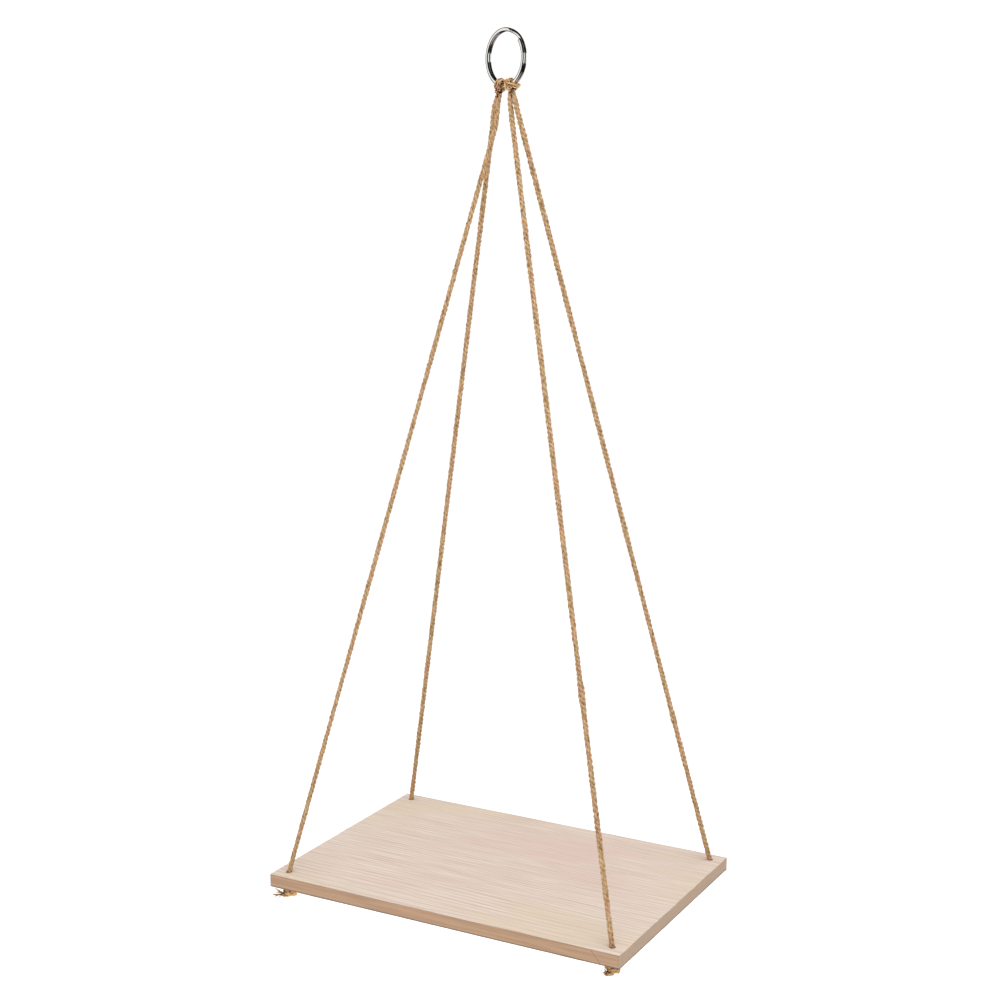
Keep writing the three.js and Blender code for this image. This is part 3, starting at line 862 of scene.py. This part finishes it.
def make_fray(name, cord, at, ahead_sign, finish, seed, spread, length):
    """The cord's end come apart into its yarns."""
    rng = np.random.default_rng(seed)
    mould = Mould()
    ahead = cord.ahead[at] * ahead_sign
    across, beside = cord.across[at], cord.beside[at]
    girth = cord.girth[at]
    sides = np.arange(FRAY_SIDES) * 2 * math.pi / FRAY_SIDES
    cos, sin = np.cos(sides), np.sin(sides)
    t = np.linspace(0, 1, FRAY_STEPS)[:, None]
    for yarn in range(FRAY_YARNS):
        angle = yarn * GOLDEN_ANGLE
        off = math.sqrt((yarn + 0.5) / FRAY_YARNS)
        out = across * math.cos(angle) + beside * math.sin(angle)
        root = cord.points[at] - ahead * 0.6 * mm + out * off * 1.25 * mm * girth
        reach = length * rng.uniform(0.6, 1.15)
        lean = spread * off * rng.uniform(0.5, 1.25)
        aside = out + rng.normal(scale=0.35, size=3)
        aside -= ahead * np.dot(aside, ahead)
        aside /= np.linalg.norm(aside)
        wave = np.cross(ahead, aside) * rng.normal(scale=0.12) * reach
        line = (
            root + ahead * reach * math.cos(lean) * t + aside * reach * math.sin(lean) * t ** 1.5
            + wave * np.sin(t * math.pi * rng.uniform(0.8, 1.6)) - UP * 0.12 * reach * t ** 2)
        along = np.gradient(line, axis=0)
        along /= np.linalg.norm(along, axis=1)[:, None]
        first = np.cross(along, aside + 0.3 * ahead)
        first /= np.linalg.norm(first, axis=1)[:, None]
        second = np.cross(along, first)
        radius = rng.uniform(0.34, 0.5) * mm * (1 - 0.4 * t ** 2)
        rings = line[:, None] + radius[..., None] * (
            first[:, None] * cos[None, :, None] + second[:, None] * sin[None, :, None])
        pulled = np.stack(np.broadcast_arrays(
            0.4 * mm * cos[None], 0.4 * mm * sin[None], reach * t + yarn * 0.03), -1)
        # The loose yarns are darkened evenly, at 0.55, through the same attribute as the cord's
        # painted shade.
        mould.tube(rings, pulled, np.full(rings.shape[:2], 0.55))
        for _ in range(3):
            here = rng.integers(1, 9)
            hair(
                mould, rng, line[here], along[here], first[here], rng.uniform(2, 5) * mm,
                rng.uniform(-1.5, 1.5) * mm)
    return mould.piece(name, finish)


# ---------------------------------------------------------------- the shelf

# The third colour of each hemp finish is the colour of its painted shade; depth and flecks set how
# strongly it is mixed in.
hemp = hemp_finish(
    "hemp_cord", linear(240, 205, 162), linear(184, 147, 105), linear(104, 68, 38), 0.64, 0.5)
# The copy for the knots, hitches and frayed ends carries heavier painted shade: a near-black shade
# colour at full strength and strong dark flecks.
heavy_shade_hemp = hemp_finish(
    "hemp_knot", linear(255, 222, 174), linear(204, 154, 104), linear(56, 22, 5), 1.0, 0.9)

for side in SIDES.values():
    cord = Cord(side)
    for name, height, length, share in STRETCHES[side_name(side)]:
        cord.thicken(name, height, length, share)
    for name, (start, end) in cord.spans.items():
        finish = hemp if name.endswith("_cord") else heavy_shade_hemp
        piece = cord.piece(name, finish, seed=start + side + 1)
        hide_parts(name)
        if name.endswith("_cord"):
            line = cord.points[start:end]
            if line[0, 2] < line[-1, 2]:
                line = line[::-1]
            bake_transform(piece)
        else:
            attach(piece, "shelf" if name.endswith("_knot") else "hitches")
    for depth in DEPTHS.values():
        name = f"{corner_name(side, depth)}_frayed_end"
        at, ahead_sign = (0, -1) if depth > 0 else (len(cord.points) - 1, 1)
        spread, length = FRAYS[corner_name(side, depth)]
        fray = make_fray(
            name + "_yarns", cord, at, ahead_sign, heavy_shade_hemp, 40 + side + 3 * depth,
            math.radians(spread), length)
        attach(fray, "shelf")
        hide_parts(name)

board = make_board(board_finish())
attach(board, "shelf")
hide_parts("shelf_board")

ring = make_ring(nickel_finish())
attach(ring, "ring")
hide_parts("split_ring")


# ---------------------------------------------------------------- floor and light

def shine(name, colour, strength):
    """A plain glowing surface for the studio's panels."""
    finish = Finish(name, base_color=(0, 0, 0, 1), roughness=1.0, specular_ior_level=0.0)
    finish.shader.inputs["Emission Color"].default_value = (*colour, 1)
    finish.shader.inputs["Emission Strength"].default_value = strength
    return finish.material


def stage_panel(name, size, place, facing, material):
    """A flat panel of the studio, facing a point."""
    mesh = bpy.data.meshes.new(name)
    x, y = size[0] / 2, size[1] / 2
    mesh.from_pydata([(-x, -y, 0), (x, -y, 0), (x, y, 0), (-x, y, 0)], [], [(0, 1, 2, 3)])
    mesh.materials.append(material)
    panel = bpy.data.objects.new(name, mesh)
    panel.location = place
    panel.rotation_euler = (Vector(facing) - Vector(place)).to_track_quat("Z", "Y").to_euler()
    bpy.context.scene.collection.objects.link(panel)
    return panel


def only_reflected(panel):
    panel.visible_camera = panel.visible_diffuse = panel.visible_shadow = False
    panel.visible_transmission = panel.visible_volume_scatter = False


def tent(name, radius, material):
    """A round tent far about the shelf, which neither lights nor shades it."""
    mesh = bmesh.new()
    bmesh.ops.create_icosphere(mesh, subdivisions=4, radius=radius)
    data = bpy.data.meshes.new(name)
    mesh.to_mesh(data)
    mesh.free()
    data.materials.append(material)
    cover = bpy.data.objects.new(name, data)
    bpy.context.scene.collection.objects.link(cover)
    cover.visible_diffuse = cover.visible_shadow = False
    return cover


def soft_light(name, size, place, aim, power):
    data = bpy.data.lights.new(name, "AREA")
    data.shape = "RECTANGLE"
    data.size, data.size_y = size
    data.energy = power
    light = bpy.data.objects.new(name, data)
    light.location = place
    light.visible_glossy = False
    light.rotation_euler = (Vector(aim) - Vector(place)).to_track_quat("-Z", "Y").to_euler()
    bpy.context.scene.collection.objects.link(light)
    return light


def card(name, colour, strength, toward, far, size):
    """A card that the ring alone reflects. toward is a direction in the ring's own frame."""
    toward = np.array(toward) / np.linalg.norm(toward)
    place = turned(toward * far, -RING_YAW)
    only_reflected(stage_panel(name, size, place, (0, 0, 0), shine(name, colour, strength)))


def studio():
    floor_finish = Finish("pale_floor", roughness=0.9, specular_ior_level=0.1)
    grain = floor_finish.noise(floor_finish.place(), 3.0)
    floor_finish.feed(base_color=floor_finish.mix(grain, (0.93, 0.93, 0.93), (0.95, 0.95, 0.95)))
    floor_finish.shader.inputs["Emission Color"].default_value = (1, 1, 1, 1)
    floor_finish.shader.inputs["Emission Strength"].default_value = 0.52
    floor = stage_panel("pale_floor", (18, 18), (0, 0, -1.25), (0, 0, 5), floor_finish.material)
    floor.visible_glossy = False
    tent("white_tent", 9, shine("white_tent", (1, 1, 1), 1.05)).visible_glossy = False
    only_reflected(tent("dark_tent", 7, shine("dark_tent", (1, 1, 1), 0.012)))
    tall = (2.7, 2.1)
    card("bright_card_back", (1, 1, 1), 1.4, (0.7, 0.645, -0.02), 4, tall)
    card("bright_card_front", (1, 0.965, 0.95), 1.08, (-0.7, -0.714, 0.05), 4, (1.55, 2.2))
    card("soft_card_behind", (1, 0.99, 0.98), 0.5, (0.1, 1, 0.3), 4, (3.0, 2.6))
    card("soft_card_left", (1, 0.99, 0.98), 0.35, (-1, 0.5, 0.25), 4, (2.0, 2.2))
    card("rosy_card_below", (1, 0.9, 0.89), 0.72, (0, 0.42, -0.9), 4, (4.6, 2.6))
    world = bpy.context.scene.world or bpy.data.worlds.new("studio")
    bpy.context.scene.world = world
    world.use_nodes = True
    world.node_tree.nodes["Background"].inputs["Color"].default_value = (1, 1, 1, 1)
    world.node_tree.nodes["Background"].inputs["Strength"].default_value = 0.55
    soft_light("overhead_softbox", (1.8, 1.8), (0.35, -0.35, 1.7), (0, 0, -0.7), 35)
    view = bpy.context.scene.view_settings
    view.view_transform = "Standard"
    view.look = "None"


studio()
